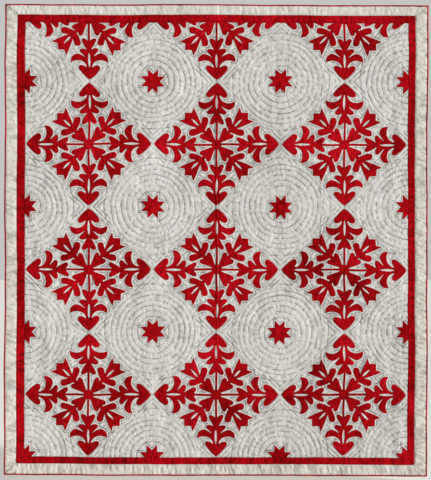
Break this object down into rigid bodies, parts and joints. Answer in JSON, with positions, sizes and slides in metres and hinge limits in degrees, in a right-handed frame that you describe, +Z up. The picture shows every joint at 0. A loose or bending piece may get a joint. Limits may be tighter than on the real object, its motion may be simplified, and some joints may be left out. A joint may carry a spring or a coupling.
{
  "type": "applique quilt on a hanging rack",
  "caption": "Red and white applique quilt with on-point blocks, quilted, bound and hung flat by a sleeve on a wooden rod and wall brackets.",
  "frame": {"origin": "centre of the backboard's back face, where the rack meets the wall", "axes": "+X along the quilt's width, +Y back into the wall, +Z up; the quilt's front faces -Y"},
  "size_m": [2.028, 0.0706, 2.256],
  "materials": {
    "turkey_red_cotton": "plain weave cotton, matt, mottled",
    "red_binding": "folded cotton tape, matt, worn paler at the fold",
    "natural_cotton": "plain weave cotton, matt",
    "border_cotton": "plain weave cotton, matt, slightly yellowed",
    "backing_cotton": "plain weave cotton, matt",
    "cotton_batting": "soft carded cotton",
    "pale_wood": "satin beech dowel",
    "dark_wood": "oiled walnut board"
  },
  "bodies": {
    "rack": {"backboard": "dark_wood", "bracket_left": "dark_wood", "bracket_right": "dark_wood"},
    "rod": {"rod": "pale_wood"},
    "quilt": {"backing": "backing_cotton", "batting": "cotton_batting", "binding": "red_binding", "bottom_star_block_c1": "natural_cotton", "bottom_star_block_c2": "natural_cotton", "corner_star_block_left": "natural_cotton", "corner_star_block_right": "natural_cotton", "flower_applique_r1_c1": "turkey_red_cotton", "flower_applique_r1_c2": "turkey_red_cotton", "flower_applique_r1_c3": "turkey_red_cotton", "flower_applique_r2_c1": "turkey_red_cotton", "flower_applique_r2_c2": "turkey_red_cotton", "flower_applique_r2_c3": "turkey_red_cotton", "flower_applique_r3_c1": "turkey_red_cotton", "flower_applique_r3_c2": "turkey_red_cotton", "flower_applique_r3_c3": "turkey_red_cotton", "flower_ground_r1_c1": "natural_cotton", "flower_ground_r1_c2": "natural_cotton", "flower_ground_r1_c3": "natural_cotton", "flower_ground_r2_c1": "natural_cotton", "flower_ground_r2_c2": "natural_cotton", "flower_ground_r2_c3": "natural_cotton", "flower_ground_r3_c1": "natural_cotton", "flower_ground_r3_c2": "natural_cotton", "flower_ground_r3_c3": "natural_cotton", "hanging_sleeve": "backing_cotton", "red_border_bottom": "turkey_red_cotton", "red_border_left": "turkey_red_cotton", "red_border_right": "turkey_red_cotton", "red_border_top": "turkey_red_cotton", "side_star_block_left_r1": "natural_cotton", "side_star_block_left_r2": "natural_cotton", "side_star_block_left_r3": "natural_cotton", "side_star_block_right_r1": "natural_cotton", "side_star_block_right_r2": "natural_cotton", "side_star_block_right_r3": "natural_cotton", "star_ground_r1_c1": "natural_cotton", "star_ground_r1_c2": "natural_cotton", "star_ground_r2_c1": "natural_cotton", "star_ground_r2_c2": "natural_cotton", "star_ground_r3_c1": "natural_cotton", "star_ground_r3_c2": "natural_cotton", "star_patch_r1_c1": "turkey_red_cotton", "star_patch_r1_c2": "turkey_red_cotton", "star_patch_r2_c1": "turkey_red_cotton", "star_patch_r2_c2": "turkey_red_cotton", "star_patch_r3_c1": "turkey_red_cotton", "star_patch_r3_c2": "turkey_red_cotton", "top_flower_block_c1": "natural_cotton", "top_flower_block_c2": "natural_cotton", "top_flower_block_c3": "natural_cotton", "white_border_bottom": "border_cotton", "white_border_left": "border_cotton", "white_border_right": "border_cotton", "white_border_top": "border_cotton"}
  },
  "joints": [
    {"name": "rod_lift", "type": "slide", "parent": "rack", "child": "rod", "axis": [0, 0, 1], "range_m": [0, 0.03]},
    {"name": "quilt_slide", "type": "slide", "parent": "rod", "child": "quilt", "axis": [1, 0, 0], "range_m": [-0.024, 0.024]}
  ]
}
